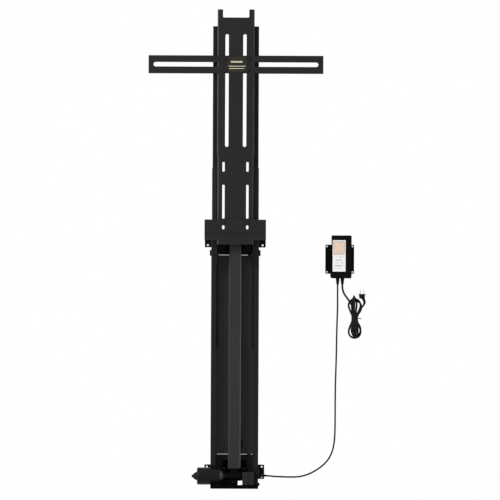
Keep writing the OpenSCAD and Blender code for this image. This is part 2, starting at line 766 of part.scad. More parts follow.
module plug_blades() color([0.75, 0.72, 0.62])
    for (x = [-6.35, 6.35]) difference() {
        block([plug_x + x - 0.75, plug_x + x + 0.75], [hank_back - 3.15, hank_back + 3.15],
            [plug_h + plug_size[2] / 2, plug_h + plug_size[2] / 2 + 16]);
        rod_x([plug_x - 9, plug_x + 9], hank_back, plug_h + plug_size[2] / 2 + 12, 1.5, fn = small_fn);
    }

// Lead screw: threaded length, thrust collar, upper journal and the tail that carries the wheel
collar = [gear_plate[1] + 9.1, gear_plate[1] + 19];
module lead_screw() color([0.55, 0.56, 0.58]) {
    rod_z(screw_r, [drum[1] + 0.5, cover_top - 1]);
    rod_z(14, collar);
    rod_z(journal_r, [cover_top - 1 - eps, shelf[1] + 9]);
    rod_z(tail_r, [19, drum[1] + 0.5 + eps]);
}

// Helical worm wheel: straight-flanked teeth, rounded off towards the tip, twisted to the worm's lead angle
wheel_tip = wheel_r + module_mm * 0.9;
wheel_root = wheel_r - module_mm * 1.25;
wheel_twist = wheel_face * worm_lead / (2 * PI * worm_r) / wheel_r * 180 / PI;
module worm_wheel() color([0.86, 0.8, 0.62]) difference() {
    union() {
        translate([0, -screw_back, up(motor_h)]) rotate(-wheel_twist / 2)
            linear_extrude(wheel_face, center = true, twist = -wheel_twist, slices = 4) wheel_outline();
        rod_z(12, [motor_h - 11, motor_h + 11]);
    }
    rod_z(tail_r, [motor_h - 12, motor_h + 12]);
}

// Points of one tooth, as [radius, half width of the tooth]
tooth = PI * module_mm / 2 - backlash;
tooth_side = [[wheel_root, tooth / 2 + 0.75], [wheel_r - 0.8, tooth / 2 + 0.28], [wheel_r, tooth / 2],
    [wheel_r + 0.7, tooth / 2 - 0.32], [wheel_tip, tooth / 2 - 0.68]];
function polar(r, x, a) = r * [cos(a + x / r * 180 / PI), sin(a + x / r * 180 / PI)];
module wheel_outline() {
    polygon([for (i = [0:wheel_teeth - 1]) let (a = i * 360 / wheel_teeth - 90)
        each concat([for (p = tooth_side) polar(p[0], -p[1], a)],
            [for (k = [len(tooth_side) - 1:-1:0]) polar(tooth_side[k][0], tooth_side[k][1], a)])]);
}

// Worm: two helical threads on the motor's shaft
thread_half = (PI * module_mm - tooth) / 2 - backlash;
module worm_shaft() color([0.5, 0.5, 0.52]) {
    rod_x([can[1] - 18, barrel[1] - 2], worm_back, motor_h, 4, fn = small_fn);
    rod_x([-worm_len / 2 - 3, worm_len / 2 + 3], worm_back, motor_h, worm_root);
    translate([0, -worm_back, up(motor_h)]) for (s = [0:worm_starts - 1]) rotate([s * 360 / worm_starts, 0, 0])
        worm_thread();
}

worm_root = worm_r - module_mm * 1.2;
worm_tip = worm_r + module_mm * 0.9;
// Between two wheel teeth at rest, so the thread's crest stands half a pitch from the tooth
module worm_thread() {
    n = 24;
    turns = worm_len / worm_lead;
    rings = [for (i = [0:n * turns]) let (a = i * 360 / n, x = worm_lead * i / n - worm_len / 2,
        phase = worm_phase)
        [for (p = [[-thread_half - 0.62, worm_root - 0.4], [-thread_half + 0.45, worm_tip],
            [thread_half - 0.45, worm_tip], [thread_half + 0.62, worm_root - 0.4]])
            [x + p[0], p[1] * cos(a + phase), p[1] * sin(a + phase)]]];
    last = len(rings) - 1;
    polyhedron(points = [for (ring = rings) each ring],
        faces = [[3, 2, 1, 0], [for (k = [0:3]) last * 4 + k],
            for (i = [0:last - 1], k = [0:3], f = [0, 1])
                let (a = i * 4 + k, b = i * 4 + (k + 1) % 4)
                f == 0 ? [a, b + 4, a + 4] : [a, b, b + 4]]);
}

worm_phase = -360 * ((worm_len / 2 + PI * module_mm / 2) / worm_lead);

// Middle stage: two rails joined by a panel that passes behind the nut's carrier
module mid_rail() difference() {
    c_rail(mid_x, [lip_x, mid_lip_back_x], [mid_back, mid_front], thin_t, [mid_bottom, mid_top]);
    translate([mid_x, 0, up(mid_top)]) rotate([0, 45, 0]) cube([12, 200, 12], center = true);
}

module mid_rail_left() color([0.14, 0.14, 0.15]) left() mid_rail();
module mid_rail_right() color([0.14, 0.14, 0.15]) mid_rail();

module mid_tie_panel() color([0.1, 0.1, 0.11])
    block([-66, 66], [mid_back - panel_t, mid_back], [mid_bottom + 10, upper_bracket_bottom - 5]);

// Nylon strips of the middle rails: outside at the lower end, inside at the top end
module mid_guide_pads() color([0.8, 0.8, 0.76])
    for (side = [0, 1]) mirror([side, 0, 0]) {
        block([pad_x, pad_x + pad_w], [mid_back - pad_t, mid_back], [mid_bottom, mid_bottom + pad_len]);
        block([pad_x, pad_x + pad_w], [mid_front, mid_front + pad_t], [mid_bottom, mid_bottom + pad_len]);
        block([pad_x, pad_x + pad_w - 2], [mid_back + thin_t, mid_back + thin_t + pad_t],
            [mid_top - pad_len - 10, mid_top - 10]);
        block([pad_x, pad_x + pad_w - 2], [mid_front - thin_t - pad_t, mid_front - thin_t],
            [mid_top - pad_len - 10, mid_top - 10]);
    }

// Upper plate of the carriage: a channel with two lid pushers and two hanging slots
module carriage_plate() color([0.15, 0.15, 0.16]) difference() {
    bend = plate_r + plate_t;
    side = plate_front - inner_front - bend;
    translate([-half_plate, -inner_front, up(seam_h)]) linear_extrude(pusher_top - seam_h) rotate(-90)
        bent_strip([[side, 90], [plate_w - 2 * bend, 90], [side, 0]], plate_t, plate_r);
    face_plate([-half_plate + pusher_w, half_plate - pusher_w], [shoulder_h, pusher_top + 20], 4,
        [inner_front - 1, plate_front + 1]);
    block([-half_plate - 1, half_plate + 1], [inner_front - 1, plate_front - 15], [inner_top, pusher_top + 1]);
    for (x = [-1, 1]) {
        upright_slot(x * carriage_slot_x, carriage_slot, carriage_slot_w, [inner_front, plate_front + 1]);
        for (z = [-1, 1])
            rod_y(x * bar_bolt[0], bar_centre + z * bar_bolt[1], bolt_hole_r, [inner_front, plate_front + 1]);
    }
}

// Lower plate: a narrower channel that reaches up inside the upper one
module lower_plate() color([0.15, 0.15, 0.16]) difference() {
    bend = plate_r + plate_t;
    side = lower_front - inner_front - bend;
    translate([-lower_half, -inner_front, up(lower_bottom)]) linear_extrude(lower_top - lower_bottom) rotate(-90)
        bent_strip([[side, 90], [2 * lower_half - 2 * bend, 90], [side, 0]], plate_t, plate_r);
    side_openings();
}

module side_openings() {
    for (x = [-1, 1]) {
        for (span = [short_slot, long_slot, oval_slot])
            upright_slot(x * side_x, span, side_slot_w, [inner_front, plate_front + 20]);
        rod_y(x * side_x, bolt_row, bolt_hole_r, [inner_front, plate_front + 20]);
    }
}

// Cross plate: a stepped stiffener over the lower plate's end, with a tongue below
module cross_plate() color([0.16, 0.16, 0.17]) difference() {
    union() {
        translate([-cross_w / 2, 0, 0]) rotate([90, 0, 90]) linear_extrude(cross_w) polygon(cross_section);
        block([-tongue_w / 2, tongue_w / 2], [lower_front, lower_front + cross_t],
            [tongue_bottom, cross_bottom + 1]);
    }
    side_openings();
}

cross_face = lower_front + cross_t;
cross_section = [[-lower_front, up(cross_top)], [-cross_face - cross_step, up(cross_top)],
    [-cross_face - cross_step, up(cross_crease[1])], [-cross_face, up(cross_crease[0])],
    [-cross_face, up(cross_bottom)], [-lower_front, up(cross_bottom)], [-lower_front, up(cross_crease[0] + 1)],
    [-lower_front - cross_step, up(cross_crease[1] + 1)], [-lower_front - cross_step, up(cross_top - cross_t)],
    [-lower_front, up(cross_top - cross_t)]];

module inner_rail() c_rail(inner_x, [inner_lip_front_x, inner_lip_back_x], [inner_back, inner_front], thin_t,
    [inner_bottom, inner_top]);

module inner_rail_left() color([0.14, 0.14, 0.15]) left() inner_rail();
module inner_rail_right() color([0.14, 0.14, 0.15]) inner_rail();

module inner_guide_pads() color([0.8, 0.8, 0.76])
    for (side = [0, 1]) mirror([side, 0, 0]) {
        block([pad_x, pad_x + pad_w - 4], [inner_back - pad_t, inner_back], [inner_bottom, inner_bottom + pad_len]);
        block([pad_x, pad_x + pad_w - 4], [inner_front, inner_front + pad_t], [inner_bottom, inner_bottom + pad_len]);
    }

// Cross bar: a slotted channel for the television's brackets, its flanges cut away over the carriage
module crossbar() color([0.15, 0.15, 0.16]) difference() {
    bend = bar_r + bar_t;
    side = bar_flange - bend;
    translate([-bar_len / 2, -bar_front + bar_flange, up(bar_centre + bar_h / 2)]) rotate([90, 0, 90])
        linear_extrude(bar_len) rotate(180) bent_strip([[side, 90], [bar_h - 2 * bend, 90], [side, 0]], bar_t, bar_r);
    block([-half_plate - 2, half_plate + 2], [bar_front - bar_flange - 1, plate_front],
        [bar_centre - bar_h, bar_centre + bar_h]);
    for (side = [-1, 1]) {
        mid = side * (bar_slot_start + bar_slot_end) / 2;
        len = bar_slot_end - bar_slot_start;
        translate([mid, -plate_front + 20, up(bar_centre)]) rotate([90, 0, 0]) linear_extrude(60) {
            square([len - bar_slot_w, bar_slot_w], center = true);
            for (s = [-1, 1]) translate([s * (len - bar_slot_w) / 2, 0]) circle(d = bar_slot_w, $fn = small_fn);
        }
        for (z = [-1, 1]) rod_y(side * bar_bolt[0], bar_centre + z * bar_bolt[1], bolt_hole_r,
            [plate_front - 1, bar_front + 1]);
    }
}

// Bolts of the cross bar and the cross plate
module carriage_bolts() for (x = [-1, 1]) {
    for (z = [-1, 1]) hex_bolt(x * bar_bolt[0], bar_centre + z * bar_bolt[1], bar_front, bar_t + plate_t);
    hex_bolt(x * side_x, bolt_row, cross_face + cross_step, cross_t + cross_step + plate_t);
}

// Drive nut: a round body with a pad that is screwed to the carrier
module drive_nut() color([0.86, 0.84, 0.76]) difference() {
    union() {
        rod_z(13.5, nut);
        block([-15, 15], [carrier_back + carrier_t, screw_back - 8], nut);
    }
    rod_z(screw_r + run_play, [nut[0] - 1, nut[1] + 1]);
    nut_screw_lines(2.5);
}

// Carrier: a bent plate that wraps round the cover from the nut to the lower plate
module nut_carrier() color([0.12, 0.12, 0.13]) difference() {
    bend = carrier_r + carrier_t;
    wing = wing_x - arm_x - bend;
    front = lower_front - plate_t;
    arm = front - bend - carrier_back - carrier_t - carrier_r;
    translate([-wing_x, -front, up(carrier[0])]) linear_extrude(carrier[1] - carrier[0])
        bent_strip([[wing, 90], [arm, -90], [2 * arm_x - 2 * carrier_r, -90], [arm, 90], [wing, 0]],
            carrier_t, carrier_r);
    block([-60, 60], [0, cover_front + 3], [carrier_rear_top, carrier[1] + 1]);
    nut_screw_lines(2.5);
    for (p = nut_screw_places) translate([p[0], -carrier_back + 1, up(p[1])]) rotate([90, 0, 0])
        cylinder(r1 = 5, r2 = 2.5, h = 3, $fn = small_fn);
}

nut_screw_places = [for (x = [-10, 10], h = [850, 868]) [x, h]];
module nut_screw_lines(r) {
    for (p = nut_screw_places) rod_y(p[0], p[1], r, [carrier_back - 1, carrier_back + 11]);
}

module nut_screws() color([0.6, 0.6, 0.62]) for (p = nut_screw_places) {
    rod_y(p[0], p[1], 2.45, [carrier_back + 0.5, carrier_back + 10]);
    translate([p[0], -carrier_back, up(p[1])]) rotate([90, 0, 0]) cylinder(r1 = 3.9, r2 = 2.4, h = 1.8, $fn = small_fn);
}

// Angle brackets of the glide shoes, with the flaps that show below the cross plate
module shoe_brackets() color([0.13, 0.13, 0.14]) for (side = [0, 1]) mirror([side, 0, 0]) {
    block([lower_half, lower_half + flap_t], [60, 84], [flap[0], shoe_top]);
    block([lower_half + flap_t - eps, 80], [flap_back, flap_back + flap_t], flap);
}

module glide_shoes() color([0.8, 0.8, 0.76]) for (side = [0, 1]) mirror([side, 0, 0])
    face_plate([lower_half + flap_t + 0.5, 80], shoe, 2, [rail_front + shoe_play, flap_back]);

// Magnet on the carrier that the limit sensors feel
module sensor_magnet() color([0.3, 0.3, 0.32]) block([arm_x - 2, arm_x], [32, 42], [848, 868]);

foot_plate();
lower_bracket();
upper_bracket();
back_panel();
base_rail_left();
base_rail_right();
base_guide_pads();
side_glide_buttons();
screw_cover();
top_bearing_bracket();
top_bush();
gearbox_bracket();
thrust_bearing();
gearbox_housing();
gearbox_cover();
gearbox_bolts();
motor_can();
motor_nose();
motor_end_cap();
motor_saddle();
terminal_box();
terminal_box_lid();
terminal_block();
panel_screws();
lead_clamp();
earth_bolt();
limit_sensors();
controller_base();
controller_cover();
controller_end_cap();
controller_board();
controller_glands();
motor_lead();
mains_lead();
mains_hank();
hank_tie();
plug_body();
plug_blades();
lead_screw();
worm_wheel();
worm_shaft();
mid_rail_left();
mid_rail_right();
mid_tie_panel();
mid_guide_pads();
carriage_plate();
lower_plate();
cross_plate();
inner_rail_left();
inner_rail_right();
inner_guide_pads();
crossbar();
carriage_bolts();
drive_nut();
nut_carrier();
nut_screws();
shoe_brackets();
glide_shoes();
sensor_magnet();
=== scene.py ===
# Motorised television lift, fully raised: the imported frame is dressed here, piece by piece, as it is put together.
# Lengths are in metres. X is to the right, Y runs from the front to the cabinet's back panel, Z is up.
import math

import bmesh
import bpy
from mathutils import Matrix, Vector


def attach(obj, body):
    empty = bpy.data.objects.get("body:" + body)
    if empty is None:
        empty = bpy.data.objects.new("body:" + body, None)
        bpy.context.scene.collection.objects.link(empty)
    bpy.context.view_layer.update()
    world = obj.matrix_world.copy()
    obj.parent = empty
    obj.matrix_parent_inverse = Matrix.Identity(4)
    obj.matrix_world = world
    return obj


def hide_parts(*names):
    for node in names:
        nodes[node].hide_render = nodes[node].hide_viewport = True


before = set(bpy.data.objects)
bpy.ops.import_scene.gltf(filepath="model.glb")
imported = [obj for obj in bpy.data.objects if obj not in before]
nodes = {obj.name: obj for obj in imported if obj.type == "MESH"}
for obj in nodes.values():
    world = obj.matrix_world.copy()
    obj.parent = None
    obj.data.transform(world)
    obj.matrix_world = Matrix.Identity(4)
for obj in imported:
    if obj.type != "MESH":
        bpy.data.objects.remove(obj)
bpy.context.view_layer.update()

# Camera. A long lens looks square at the lift from the front, level with the middle of its height,
# and leans a quarter of a degree as the photograph does. One pixel of the picture is 3.6 mm.
FOOT = -0.057
lens = bpy.data.cameras.new("long_lens")
lens.lens = 320
lens.clip_end = 100
camera = bpy.data.objects.new("camera", lens)
camera.location = (0.0533, -16.055, 0.8009)
camera.rotation_euler = (math.radians(90), math.radians(-0.25), 0)
bpy.context.scene.collection.objects.link(camera)
bpy.context.scene.camera = camera
bpy.context.scene.view_settings.view_transform = "Standard"


# Studio. A pale floor under the foot and a white surround: the camera and reflections see white,
# while the lamps and a soft sky light the steel at a plain level.
class Wire:
    """One socket of a node tree. Sums on wires add Math nodes, and node() adds any other."""

    def __init__(self, socket):
        self.socket = socket

    def node(self, kind, settings=None, inputs=None, out=0):
        tree = self.socket.id_data
        made = tree.nodes.new(kind)
        for name, value in (settings or {}).items():
            if name == "stops":
                stops = made.color_ramp.elements
                while len(stops) < len(value):
                    stops.new(1)
                for stop, (at, colour) in zip(stops, value):
                    stop.position = at
                    stop.color = (*colour, 1)
            else:
                setattr(made, name, value)
        for key, value in (inputs or {}).items():
            if isinstance(value, Wire):
                tree.links.new(value.socket, made.inputs[key])
            else:
                made.inputs[key].default_value = value
        return Wire(made.outputs[out])

    def maths(self, operation, *others):
        return self.node("ShaderNodeMath", {"operation": operation}, dict(enumerate((self, *others))))

    def __add__(self, other):
        return self.maths("ADD", other)

    def __sub__(self, other):
        return self.maths("SUBTRACT", other)

    def __rsub__(self, other):
        return self.maths("MULTIPLY_ADD", -1, other)

    def __mul__(self, other):
        return self.maths("MULTIPLY", other)

    def __truediv__(self, other):
        return self.maths("DIVIDE", other)

    def __gt__(self, other):
        return self.maths("GREATER_THAN", other)

    def __lt__(self, other):
        return self.maths("LESS_THAN", other)

    __radd__, __rmul__ = __add__, __mul__

    def limited(self):
        return self.node("ShaderNodeClamp", inputs={"Value": self})

    def beside(self, out):
        """Another output of the node that this wire comes from."""
        return Wire(self.socket.node.outputs[out])

    def mixed(self, low, high):
        """A colour that runs from low to high as this wire runs from 0 to 1."""
        ends = {6: low, 7: high}
        for key, value in ends.items():
            ends[key] = value if isinstance(value, Wire) else (*value, 1)
        return self.node("ShaderNodeMix", {"data_type": "RGBA"}, {0: self, **ends}, 2)

    def shaded(self, colour, low, high):
        """One colour that runs from low to high times its strength as this wire runs from 0 to 1."""
        return self.mixed([c * low for c in colour], [c * high for c in colour])


def empty_material(name):
    """A material whose nodes are all still to come, and a wire to start them from."""
    material = bpy.data.materials.new(name)
    material.use_nodes = True
    tree = material.node_tree
    tree.nodes.clear()
    return material, Wire(tree.nodes.new("ShaderNodeTexCoord").outputs["Object"])


def finished(material, surface):
    tree = material.node_tree
    tree.links.new(surface.socket, tree.nodes.new("ShaderNodeOutputMaterial").inputs["Surface"])
    return material


def seen_directly(start):
    """1 for what the camera sees, straight or in a reflection, and 0 for light that falls on the steel."""
    rays = start.node("ShaderNodeLightPath")
    return (rays + rays.beside("Is Glossy Ray") + rays.beside("Is Transmission Ray")).limited()


floor_paint, place = empty_material("floor_paint")
pale = place.node("ShaderNodeBsdfDiffuse", inputs={"Color": (0.93, 0.93, 0.93, 1)})
white = place.node("ShaderNodeEmission", inputs={"Color": (1, 1, 1, 1), "Strength": 1.0})
finished(floor_paint, place.node("ShaderNodeMixShader", inputs={0: seen_directly(place) * 0.985, 1: pale, 2: white}))
sheet = bmesh.new()
bmesh.ops.create_grid(sheet, x_segments=1, y_segments=1, size=1)
bmesh.ops.transform(sheet, matrix=Matrix.Diagonal((2.2, 1.4, 1, 1)), verts=sheet.verts)
bmesh.ops.translate(sheet, vec=(0.1, 0, FOOT), verts=sheet.verts)
floor_mesh = bpy.data.meshes.new("floor")
sheet.to_mesh(floor_mesh)
floor_mesh.materials.append(floor_paint)
floor = bpy.data.objects.new("floor", floor_mesh)
bpy.context.scene.collection.objects.link(floor)

sky = bpy.data.worlds.new("white_room")
bpy.context.scene.world = sky
sky.use_nodes = True
sky.node_tree.nodes.clear()
start = Wire(sky.node_tree.nodes.new("ShaderNodeTexCoord").outputs["Generated"])
soft = start.node("ShaderNodeBackground", inputs={"Color": (1, 1, 1, 1), "Strength": 0.36})
bright = start.node("ShaderNodeBackground", inputs={"Color": (1, 1, 1, 1), "Strength": 1.0})
room = start.node("ShaderNodeMixShader", inputs={0: seen_directly(start), 1: soft, 2: bright})
sky.node_tree.links.new(room.socket, sky.node_tree.nodes.new("ShaderNodeOutputWorld").inputs["Surface"])

lamps = [("key", (-2.6, -3.4, 3.0), 2.4, 2.4, 105), ("fill", (2.8, -3.6, 1.2), 2.0, 2.6, 16),
         ("left_strip", (-3.0, -1.7, 0.9), 0.35, 2.8, 68), ("right_strip", (3.1, -2.0, 0.5), 0.3, 2.2, 18)]
for name, at, wide, tall, watts in lamps:
    lamp = bpy.data.lights.new(name, "AREA")
    lamp.shape = "RECTANGLE"
    lamp.size, lamp.size_y = wide, tall
    lamp.energy = watts
    light = bpy.data.objects.new(name, lamp)
    light.location = at
    light.rotation_euler = (Vector((0, 0, 0.8)) - Vector(at)).to_track_quat("-Z", "Y").to_euler()
    bpy.context.scene.collection.objects.link(light)


# Leads. The motor lead and the mains cord have smooth black vinyl jackets. The motor lead hangs from the clamp
# at the foot to the control box's left gland; its route repeats the one that the frame's solid follows.
def grained(place, scale, detail=2.0):
    return place.node("ShaderNodeTexNoise", inputs={"Vector": place, "Scale": scale, "Detail": detail})


def jacket(name, colour, gloss=0.1):
    material, place = empty_material(name)
    dust = grained(place, 90) - 0.5
    tint = (dust * 0.6 + 0.5).limited().shaded(colour, 0.75, 1.35)
    bump = place.node("ShaderNodeBump", inputs={"Height": grained(place, 900), "Strength": 0.12, "Distance": 0.0004})
    return finished(material, place.node("ShaderNodeBsdfPrincipled", inputs={
        "Base Color": tint, "Roughness": dust * 0.2 + 0.42, "Normal": bump, "Specular IOR Level": gloss}))


vinyl = jacket("cord_vinyl", (0.0045, 0.0043, 0.0043))


def at_foot(point):
    """A point given as x, depth in front of the wall and height above the foot, in millimetres."""
    return (point[0] / 1000, -point[1] / 1000, point[2] / 1000 + FOOT)


def smooth(points, steps):
    """Points along the curve that passes smoothly through the ones given."""
    points = [Vector(p) for p in points]
    line = []
    for i in range(len(points) - 1):
        before, a, b, after = points[max(i - 1, 0)], points[i], points[i + 1], points[min(i + 2, len(points) - 1)]
        for k in range(steps):
            u = k / steps
            line.append(0.5 * (2 * a + (b - before) * u + (2 * before - 5 * a + 4 * b - after) * u * u
                               + (3 * a - before - 3 * b + after) * u ** 3))
    return line + [points[-1]]


def lead(name, line, diameter, material):
    curve = bpy.data.curves.new(name, "CURVE")
    curve.dimensions = "3D"
    curve.bevel_depth = diameter / 2
    curve.bevel_resolution = 4
    curve.use_fill_caps = True
    spline = curve.splines.new("POLY")
    spline.points.add(len(line) - 1)
    for point, at in zip(spline.points, line):
        point.co = (*at, 1)
    curve.materials.append(material)
    made = bpy.data.objects.new(name, curve)
    bpy.context.scene.collection.objects.link(made)
    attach(made, "base")
    return made


motor_route = [(98, 76, 47), (112, 76, 47), (126, 76, 46), (145, 74, 44), (170, 71, 43), (200, 66, 42), (232, 60, 43),
               (262, 53, 50), (290, 46, 63), (315, 39, 80), (336, 33, 101), (350, 29, 126), (358, 26, 154),
               (362, 24, 194), (363, 22, 255), (363, 21, 320), (364, 20, 390), (366, 20, 464), (367, 19, 525),
               (368, 19, 582), (370, 19, 647), (370, 19, 700), (370, 19, 745)]
motor_lead = lead("motor_lead_cord", smooth([at_foot(p) for p in motor_route], 6), 0.006, vinyl)
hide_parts("motor_lead")
at_foot((113, 76, 47))

# Mains cord. It leaves the right gland and runs down into a hank of five long turns, pinched by a tie at the waist,
# so that its ten strands stand round the tie in a ring and its folds splay above and below, each its own way.
# The last strand bends up into the plug. Angles are turned about the hank's own upright axis.
waist_x, waist_back, waist_h = 432.0, 27.0, 613.0
strands = [(72, 82), (252, 268), (108, 102), (288, 290), (144, 122), (324, 340), (180, 186), (0, 12), (216, 246),
           (36, 60)]
lower_folds = {0: 554.5, 2: 558.5, 4: 550.5, 6: 542.5, 8: 546.5}
upper_folds = {1: 692.5, 3: 687.0, 5: 682.5, 7: 674.5}
fold_radius = 21.6


def round_the_waist(angle, wide, deep):
    turn = math.radians(angle)
    return waist_x + wide * math.cos(turn), waist_back + deep * math.sin(turn)


def at_waist(i):
    return *round_the_waist(strands[i][0], 8, 13), waist_h


def fold_ends(i):
    """Where strand i and the next one enter the fold that joins them."""
    one, two = strands[i][1], strands[i + 1][1]
    apart = abs((one - two + 180) % 360 - 180)
    reach = fold_radius / math.sin(math.radians(apart / 2))
    return round_the_waist(one, reach, reach), round_the_waist(two, reach, reach)


def strand(start, end, count):
    """Points of one strand, which runs along the hank at both of its ends."""
    line = []
    for k in range(count):
        along = (k + 0.5) / count
        across = (1 - math.cos(math.pi * along)) / 2
        line.append((start[0] + (end[0] - start[0]) * across, start[1] + (end[1] - start[1]) * across,
                     start[2] + (end[2] - start[2]) * along))
    return line


def fold(one, two, level, upwards):
    radius = math.dist(one, two) / 2
    middle = [(a + b) / 2 for a, b in zip(one, two)]
    return [(middle[0] + (one[0] - middle[0]) * math.cos(turn), middle[1] + (one[1] - middle[1]) * math.cos(turn),
             level + upwards * radius * math.sin(turn)) for turn in (math.pi * k / 12 for k in range(13))]


mains_route = [(387, 19, 745), (387, 19, 736), (387, 19, 728), (388.5, 20, 716), (393, 22.5, 703), (400, 26.5, 692),
               (408, 31.5, 681), (415, 35, 671), (421, 36.5, 660), (426, 37, 648), (430.5, 37.7, 635),
               (433.5, 38.8, 622)]
for i, lowest in lower_folds.items():
    one, two = fold_ends(i)
    level = lowest + math.dist(one, two) / 2
    mains_route += [at_waist(i)] + strand(at_waist(i), (*one, level), 6) + fold(one, two, level, -1)
    mains_route += strand((*two, level), at_waist(i + 1), 6) + [at_waist(i + 1)]
    if i + 1 in upper_folds:
        one, two = fold_ends(i + 1)
        level = upper_folds[i + 1] - math.dist(one, two) / 2
        mains_route += strand(at_waist(i + 1), (*one, level), 7) + fold(one, two, level, 1)
        mains_route += strand((*two, level), at_waist(i + 2), 7)
mains_route += [(440, 37.5, 625), (443.5, 40.5, 635), (450, 42, 645), (458, 41, 654), (464.6, 37, 663),
                (467, 32, 672), (464, 28.5, 681), (458.6, 27, 690)]
mains_line = smooth([at_foot(p) for p in mains_route], 3)
mains_cord = lead("mains_cord", mains_line, 0.007, vinyl)


# Plug and tie. The plug is black rubber moulded round its pins, with finger grooves, a thick front rim and a ribbed
# taper on the cord. The tie is a plastic-covered wire, wound round the hank's waist and twisted at the right.
def skinned(name, rings, material, body="base", smooth_faces=True):
    """A closed skin over rings of points, from the first ring to the last."""
    shell = bmesh.new()
    loops = [[shell.verts.new(point) for point in ring] for ring in rings]
    count = len(loops[0])
    for a, b in zip(loops, loops[1:]):
        for k in range(count):
            shell.faces.new((a[k], a[(k + 1) % count], b[(k + 1) % count], b[k]))
    shell.faces.new(reversed(loops[0]))
    shell.faces.new(loops[-1])
    bmesh.ops.recalc_face_normals(shell, faces=shell.faces)
    for face in shell.faces:
        face.smooth = smooth_faces
    mesh = bpy.data.meshes.new(name)
    shell.to_mesh(mesh)
    mesh.materials.append(material)
    made = bpy.data.objects.new(name, mesh)
    bpy.context.scene.collection.objects.link(made)
    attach(made, body)
    return made


def oblong(x, depth, height, wide, deep, square=4.0, count=40):
    """One level ring between an ellipse (square 2) and a rectangle, about a point."""
    ring = []
    for k in range(count):
        turn = 2 * math.pi * k / count
        c, s = math.cos(turn), math.sin(turn)
        reach = (abs(c) ** square + abs(s) ** square) ** (-1 / square)
        ring.append(at_foot((x + wide * c * reach, depth - deep * s * reach, height)))
    return ring


soft_black = jacket("moulded_rubber", (0.0052, 0.0050, 0.0049), gloss=0.05)
plug_x, plug_back = 458, 27
plug_profile = [(684.0, 5.5, 5.0), (684.6, 7.8, 6.4), (686.2, 9.8, 8.0), (687.6, 10.6, 8.7)]
for k in range(4):
    plug_profile += [(688.4 + 2.3 * k, 11.0, 9.0), (689.4 + 2.3 * k, 10.2, 8.6), (690.0 + 2.3 * k, 10.3, 8.6)]
plug_profile += [(697.4, 11.2, 9.0), (697.8, 12.6, 9.8), (699.6, 12.9, 9.9), (700.6, 12.6, 9.7), (701.0, 11.9, 9.1)]
plug_rings = [oblong(plug_x, plug_back, *size) for size in plug_profile]
plug = skinned("plug_grip", plug_rings, soft_black)
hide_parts("plug_body")

relief_line = mains_line[-9:]
relief = lead("plug_relief", relief_line, 2.0, soft_black)
for k, point in enumerate(relief.data.splines[0].points):
    point.radius = 0.0041 + 0.0019 * k / len(relief_line) + 0.00035 * (k % 2)

tie_rings = []
for k in range(49):
    turn = 2 * math.pi * k / 48
    x, depth = waist_x + 12.6 * math.cos(turn), waist_back + 17.7 * math.sin(turn)
    tie_rings.append([at_foot((x + s * math.cos(turn), depth + s * math.sin(turn), waist_h + h))
                      for s, h in ((0.5, -1.5), (0.5, 1.5), (0.1, 2.1), (-0.4, 1.5), (-0.4, -1.5), (0.1, -2.1))])
tie_band = skinned("tie_band", tie_rings, soft_black)
two_wires = [(1, 0.4), (0.5, 1), (0, 0.5), (-0.5, 1), (-1, 0.4), (-1, -0.4), (-0.5, -1), (0, -0.5), (0.5, -1),
             (1, -0.4)]
twist = []
for k in range(25):
    turn, x = math.pi * k / 6, 444.3 + 0.48 * k
    sag = 1.6 * (k / 24) ** 2
    twist.append([at_foot((x, 37 + 1.9 * c * math.cos(turn) - 0.7 * s * math.sin(turn),
                           waist_h - sag + 1.9 * c * math.sin(turn) + 0.7 * s * math.cos(turn)))
                  for c, s in two_wires])
tie_twist = skinned("tie_twist", twist, soft_black)
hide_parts("hank_tie")
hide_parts("mains_lead", "mains_hank")
at_foot((387, 19, 735))


# Sheet steel. Foot, brackets, rails and plates are cut and bent from steel sheet and powder-coated satin black:
# a fine orange peel, faint cloudiness, and a little more shine on the bends and edges, where a painted highlight also
# makes the colour paler, standing for the light that glints on them.
RAIL_INSIDE = 0.068


def powder_coat(name, colour, rough=0.46, edge=2.4, peel=0.16, bend=0.0016, gloss=0.12, folds=(0, 0), inside=None):
    """edge is how much paler the coat is at its edges, and folds how much paler it is on upright bends at the left
    and
    the right: both are painted highlights for light glinting there. inside is the colour that a bracket has between
    the rails."""
    material, place = empty_material(name)
    cloud = grained(place, 14, 4)
    fleck = grained(place, 420, 3)
    shade = ((cloud - 0.5) * 0.7 + (fleck - 0.5) * 0.5 + 0.5).limited()
    # Painted highlight: rounded edges (from the bevel) and upright bends facing left or right make a mask that pales
    # the colour, standing for light glinting there.
    rounded = place.node("ShaderNodeBevel", {"samples": 4}, {"Radius": bend})
    flat = place.node("ShaderNodeNewGeometry", out=1)
    turned = 1 - place.node("ShaderNodeVectorMath", {"operation": "DOT_PRODUCT"}, {0: rounded, 1: flat}, 1)
    facing = flat.node("ShaderNodeSeparateXYZ", inputs={0: flat})
    leftward = facing * facing.beside(1) * 2
    bent = leftward.maths("MAXIMUM", 0) * folds[0] - leftward.maths("MINIMUM", 0) * folds[1]
    painted_glint_mask = (turned * 5 * (cloud + 0.4) + bent * (cloud + 0.5)).limited()
    base = shade.shaded(colour, 0.8, 1.2)
    if inside:
        across = place.node("ShaderNodeSeparateXYZ", inputs={0: place})
        within = shade.shaded(inside, 0.8, 1.2)
        base = (across.maths("ABSOLUTE") < RAIL_INSIDE).mixed(base, within)
    # The painted highlight: the colour grows paler by the edge factor under the glint mask.
    tint = painted_glint_mask.mixed(base, [c * edge for c in colour])
    height = grained(place, 1300, 2) + grained(place, 300, 2) * 1.5
    bump = place.node("ShaderNodeBump", inputs={"Height": height, "Strength": peel, "Distance": 0.0003})
    return finished(material, place.node("ShaderNodeBsdfPrincipled", inputs={
        "Base Color": tint, "Roughness": (fleck - 0.5) * 0.18 + rough - painted_glint_mask * 0.1, "Normal": bump,
        "Specular IOR Level": gloss}))


def dress(names, material):
    for name in names:
        skin = nodes[name].data.materials
        skin.clear()
        skin.append(material)
